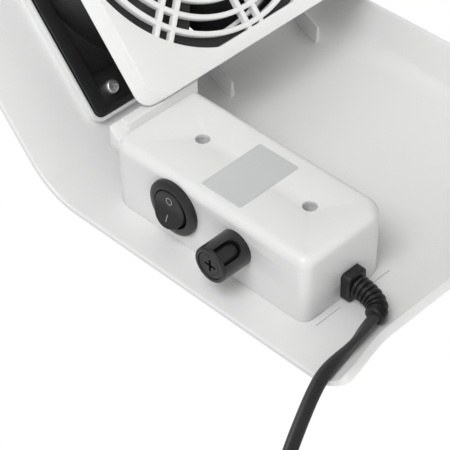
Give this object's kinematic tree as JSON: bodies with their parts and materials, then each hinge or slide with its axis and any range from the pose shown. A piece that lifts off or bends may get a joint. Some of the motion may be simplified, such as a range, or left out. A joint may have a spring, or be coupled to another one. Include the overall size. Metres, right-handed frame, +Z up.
{
  "type": "nail dust collector",
  "caption": "Arched desktop dust collector: a moulded arch stands on two sloping wings over a round axial fan with grilles, and has a mains box with rocker switch, fuse holder and cord.",
  "frame": {"origin": "on the table, under the middle of the arch", "axes": "+Z up; +X across the arch towards the wing that carries the mains box; +Y towards the open back edge, where the switch and the fuse face; the skirt is on the -Y side"},
  "size_m": [0.4407, 0.2236, 0.1139],
  "materials": {
    "shell_plastic": "moulded ABS, satin",
    "grille_plastic": "moulded ABS, satin",
    "black_plastic": "moulded PBT",
    "rotor_plastic": "moulded PBT",
    "magnet": "bonded ferrite",
    "steel": "zinc plated",
    "copper_winding": "enamelled copper wire",
    "board": "solder mask",
    "label_foil": "blank satin foil",
    "switch_plastic": "moulded PA",
    "brass": "tinned brass",
    "fuse_glass": "clear glass",
    "transformer_tape": "polyester tape",
    "capacitor_sleeve": "shrink sleeve",
    "aluminium": "extruded",
    "green_plastic": "moulded PA",
    "lead_insulation": "PVC",
    "cord_jacket": "flexible PVC"
  },
  "bodies": {
    "arch": {"arch_shell": "shell_plastic", "intake_grille": "grille_plastic", "fan_frame": "black_plastic", "inner_bearing": "steel", "outer_bearing": "steel", "motor_stator": "copper_winding", "motor_board": "board", "fan_screws": "steel", "exhaust_guard": "grille_plastic", "box_cover": "shell_plastic", "box_screws": "steel", "blank_label": "label_foil", "switch_body": "switch_plastic", "switch_terminals": "brass", "fuse_holder": "switch_plastic", "fuse_nut": "black_plastic", "fuse_contact": "brass", "circuit_board": "board", "transformer": "transformer_tape", "bulk_capacitor": "capacitor_sleeve", "output_capacitor": "capacitor_sleeve", "heat_sink": "aluminium", "power_transistor": "black_plastic", "terminal_block": "green_plastic", "fan_leads": "lead_insulation", "strain_relief": "cord_jacket", "power_cord": "cord_jacket", "cord_coil": "cord_jacket", "cord_tail": "cord_jacket", "plug_body": "cord_jacket", "plug_pins": "brass"},
    "rotor": {"fan_rotor": "rotor_plastic", "rotor_magnet": "magnet", "rotor_shaft": "steel", "shaft_clip": "steel"},
    "rocker": {"switch_rocker": "switch_plastic"},
    "fuse": {"glass_fuse": "fuse_glass"},
    "fuse_knob": {"fuse_cap": "switch_plastic"}
  },
  "joints": [
    {"name": "fan_spin", "type": "hinge", "parent": "arch", "child": "rotor", "pos_m": [0, -0.0115, 0.09], "axis": [0, 0, 1], "continuous": true},
    {"name": "rocker_tilt", "type": "hinge", "parent": "arch", "child": "rocker", "pos_m": [0.09294, 0.0655, 0.05749], "axis": [0.6521, 0, -0.7581], "range_deg": [0, 24]},
    {"name": "fuse_slide", "type": "slide", "parent": "arch", "child": "fuse", "axis": [0, 1, 0], "range_m": [0, 0.03]},
    {"name": "fuse_knob_turn", "type": "hinge", "parent": "fuse", "child": "fuse_knob", "pos_m": [0.11309, 0.075, 0.03407], "axis": [0, 1, 0], "range_deg": [0, 90]}
  ]
}
